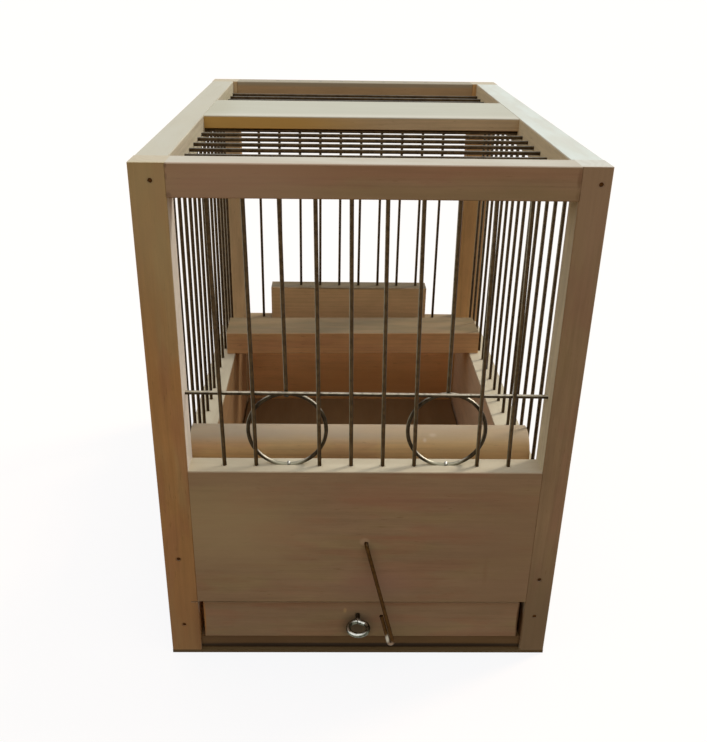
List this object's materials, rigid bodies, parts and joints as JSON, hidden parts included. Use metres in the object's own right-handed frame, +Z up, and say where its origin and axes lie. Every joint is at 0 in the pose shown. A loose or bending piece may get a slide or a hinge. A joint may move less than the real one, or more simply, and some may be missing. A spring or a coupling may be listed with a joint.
{
  "type": "songbird cage",
  "caption": "Small wooden cage for a songbird, with steel wire bars, feeding rings, perches, a slide-out tray, a lift-up back door and a swinging wire latch.",
  "frame": {"origin": "centre of the footprint on the underside of the base sheet, counting the ring of the screw eye that stands out in front", "axes": "+Z up, -Y the front with the tray and its screw eye, +Y the back with the lift-up door, +X right as seen from the front"},
  "size_m": [0.206, 0.3124, 0.27],
  "materials": {
    "frame_wood": "bare aged softwood, matt",
    "board_wood": "bare aged plank, matt",
    "floor_wood": "dark worn sheet, matt",
    "perch_wood": "bare wood polished by use",
    "bar_steel": "drawn wire, dulled",
    "nail_steel": "dulled, lightly rusted",
    "eye_zinc": "zinc plated"
  },
  "bodies": {
    "cage": {"front_left_post": "frame_wood", "front_right_post": "frame_wood", "back_left_post": "frame_wood", "back_right_post": "frame_wood", "top_front_rail": "frame_wood", "top_back_rail": "frame_wood", "top_left_rail": "frame_wood", "top_right_rail": "frame_wood", "roof_board": "frame_wood", "front_panel": "board_wood", "left_side_board": "board_wood", "right_side_board": "board_wood", "back_board": "board_wood", "base_sheet": "floor_wood", "fixed_floor": "floor_wood", "front_wires": "bar_steel", "front_cross_wire": "bar_steel", "left_feeding_ring": "bar_steel", "right_feeding_ring": "bar_steel", "left_side_wires": "bar_steel", "right_side_wires": "bar_steel", "back_fixed_wires": "bar_steel", "roof_wires": "bar_steel", "round_perch": "perch_wood", "flat_perch": "perch_wood", "frame_nails": "nail_steel"},
    "back_door": {"door_foot": "perch_wood", "door_wires": "bar_steel"},
    "tray": {"tray_front": "board_wood", "tray_sheet": "floor_wood", "screw_eye": "eye_zinc"},
    "latch": {"latch_wire": "bar_steel"}
  },
  "joints": [
    {"name": "tray_slide", "type": "slide", "parent": "cage", "child": "tray", "axis": [0, -1, 0], "range_m": [0, 0.25]},
    {"name": "door_lift", "type": "slide", "parent": "cage", "child": "back_door", "axis": [0, 0, 1], "range_m": [0, 0.14]},
    {"name": "latch_swing", "type": "hinge", "parent": "cage", "child": "latch", "pos_m": [0.0025, -0.14075, 0.0745], "axis": [0, -1, 0], "range_deg": [-5, 95]}
  ]
}
